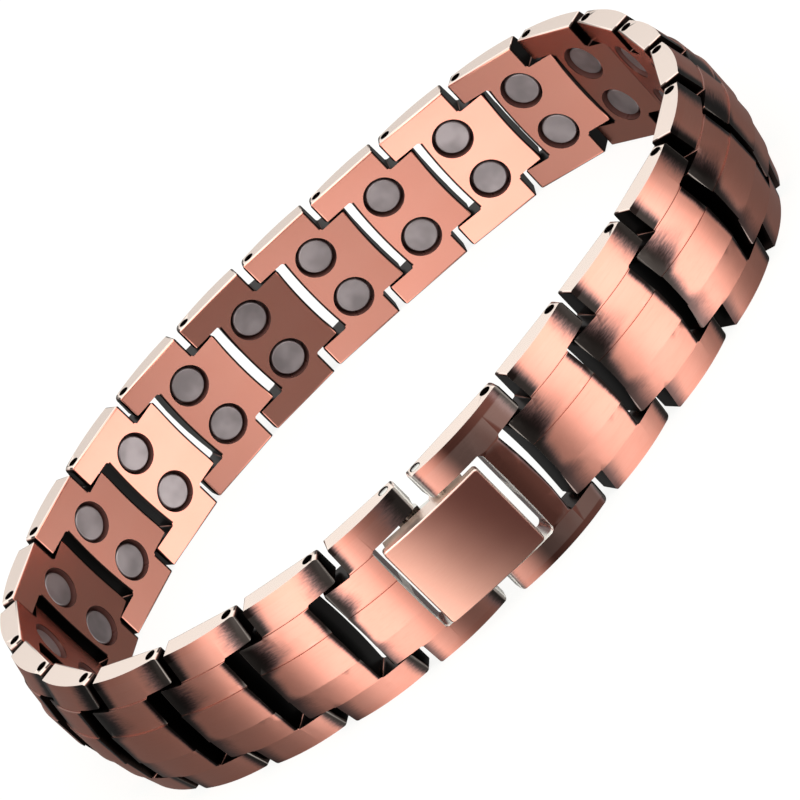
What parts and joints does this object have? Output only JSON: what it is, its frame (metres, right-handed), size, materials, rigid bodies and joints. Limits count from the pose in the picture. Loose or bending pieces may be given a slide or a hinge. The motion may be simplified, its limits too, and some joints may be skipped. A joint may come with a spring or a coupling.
{
  "type": "magnetic bracelet",
  "caption": "Closed bracelet of flat copper links with disc magnets in their inner faces, pinned end to end and joined by a fold-over lever clasp.",
  "frame": {"origin": "centre of the loop's footprint, on the surface it stands on", "axes": "+Z along the wearer's arm, +X along the longer way across the loop, the clasp at -Y"},
  "size_m": [0.0822, 0.067, 0.0144],
  "materials": {
    "link_copper": "brushed antique copper",
    "end_link_copper": "brushed antique copper",
    "clasp_copper": "satin copper",
    "clasp_arm_metal": "polished",
    "clasp_pin": "polished",
    "link_pin": "dark",
    "magnet": "ground, dull"
  },
  "bodies": {
    "band": {"link_01": "link_copper", "link_02": "link_copper", "link_03": "link_copper", "link_04": "link_copper", "link_05": "link_copper", "link_06": "link_copper", "link_07": "link_copper", "link_08": "link_copper", "link_09": "link_copper", "link_10": "link_copper", "link_11": "link_copper", "link_12": "link_copper", "link_13": "link_copper", "link_14": "link_copper", "link_15": "link_copper", "link_16": "link_copper", "link_17": "link_copper", "link_18": "link_copper", "link_19": "link_copper", "link_20": "link_copper", "link_21": "link_copper", "link_22": "link_copper", "link_23": "link_copper", "end_link_right": "end_link_copper", "end_link_left": "end_link_copper", "magnets_upper": "magnet", "magnets_lower": "magnet", "link_pins": "link_pin", "clasp_pin_right": "clasp_pin", "clasp_pin_left": "clasp_pin"},
    "cover": {"clasp_cover": "clasp_copper"},
    "arm": {"clasp_arm": "clasp_arm_metal"}
  },
  "joints": [
    {"name": "cover_hinge", "type": "hinge", "parent": "band", "child": "cover", "pos_m": [-0.00226, -0.03102, 0.0072], "axis": [0, 0, 1], "range_deg": [0, 97]},
    {"name": "arm_fold", "type": "hinge", "parent": "cover", "child": "arm", "pos_m": [-0.00112, -0.0319, 0.0072], "axis": [0, 0, 1], "range_deg": [-97, 0]}
  ],
  "couplings": [
    {"joint": "arm_fold", "follows": "cover_hinge", "ratio": -1}
  ]
}
